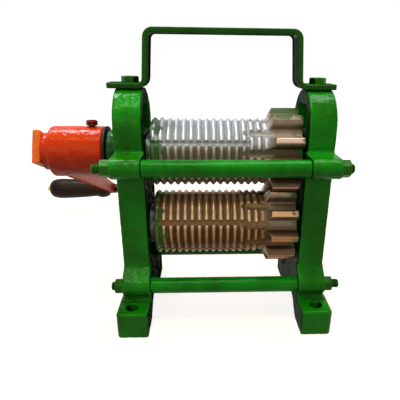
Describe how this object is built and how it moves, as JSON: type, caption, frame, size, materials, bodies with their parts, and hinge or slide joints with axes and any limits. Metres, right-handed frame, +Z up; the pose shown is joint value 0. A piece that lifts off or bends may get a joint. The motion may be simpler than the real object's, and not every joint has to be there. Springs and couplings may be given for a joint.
{
  "type": "manual sugarcane juicer",
  "caption": "Bench top hand cranked cane mill: grooved geared rollers between cast side frames, with a carry handle and a long crank with a turning grip.",
  "frame": {"origin": "on the floor, in the middle of the four bolt holes in the feet", "axes": "+Z up, X along the rollers with the crank on the -X side, -Y towards the user who feeds the cane"},
  "size_m": [0.5429, 0.4803, 0.38],
  "materials": {
    "frame_enamel": "glossy green enamel over a rough casting",
    "block_enamel": "glossy green enamel",
    "handle_enamel": "glossy green enamel on hot rolled flat bar",
    "fastener_enamel": "green enamel brushed over nuts and bolts",
    "spacer_enamel": "glossy green enamel on tube",
    "bush_metal": "bare turned iron",
    "roller_iron": "bare turned iron",
    "shaft_steel": "bare turned steel",
    "hub_enamel": "glossy red orange enamel",
    "arm_enamel": "glossy red orange enamel",
    "screw_enamel": "red enamel over steel",
    "collar_black": "black oily turned iron",
    "grip_wood": "dark stained turned wood",
    "pin_steel": "yellow passivated steel"
  },
  "bodies": {
    "frame_assembly": {"right_frame": "frame_enamel", "left_frame": "frame_enamel", "carry_handle": "handle_enamel", "handle_bolts": "fastener_enamel", "upper_front_spacer": "spacer_enamel", "upper_rear_spacer": "spacer_enamel", "lower_front_spacer": "spacer_enamel", "lower_rear_spacer": "spacer_enamel", "upper_front_stud": "fastener_enamel", "upper_rear_stud": "fastener_enamel", "lower_front_stud": "fastener_enamel", "lower_rear_stud": "fastener_enamel", "upper_tie_nuts": "fastener_enamel", "lower_tie_nuts": "fastener_enamel", "left_upper_block": "block_enamel", "right_upper_block": "block_enamel", "left_upper_bush": "bush_metal", "right_upper_bush": "bush_metal", "left_lower_bush": "bush_metal", "right_lower_bush": "bush_metal"},
    "crank_and_upper_roller": {"upper_roller": "roller_iron", "upper_shaft": "shaft_steel", "upper_roller_key": "shaft_steel", "upper_thrust_washer": "shaft_steel", "crank_collar": "collar_black", "crank_hub": "hub_enamel", "hub_set_screw": "screw_enamel", "crank_arm": "arm_enamel", "crank_pin": "pin_steel", "crank_pin_nut": "screw_enamel"},
    "lower_roller_unit": {"lower_roller": "roller_iron", "lower_shaft": "shaft_steel", "lower_roller_key": "shaft_steel", "lower_thrust_washer": "shaft_steel"},
    "crank_grip": {"grip": "grip_wood"}
  },
  "joints": [
    {"name": "crank_turn", "type": "hinge", "parent": "frame_assembly", "child": "crank_and_upper_roller", "pos_m": [0, 0, 0.229], "axis": [1, 0, 0], "continuous": true},
    {"name": "lower_roller_turn", "type": "hinge", "parent": "frame_assembly", "child": "lower_roller_unit", "pos_m": [0, 0, 0.129], "axis": [1, 0, 0], "continuous": true},
    {"name": "grip_turn", "type": "hinge", "parent": "crank_and_upper_roller", "child": "crank_grip", "pos_m": [-0.313, 0.36399, 0.06312], "axis": [1, 0, 0], "continuous": true}
  ],
  "couplings": [
    {"joint": "lower_roller_turn", "follows": "crank_turn", "ratio": -1}
  ]
}
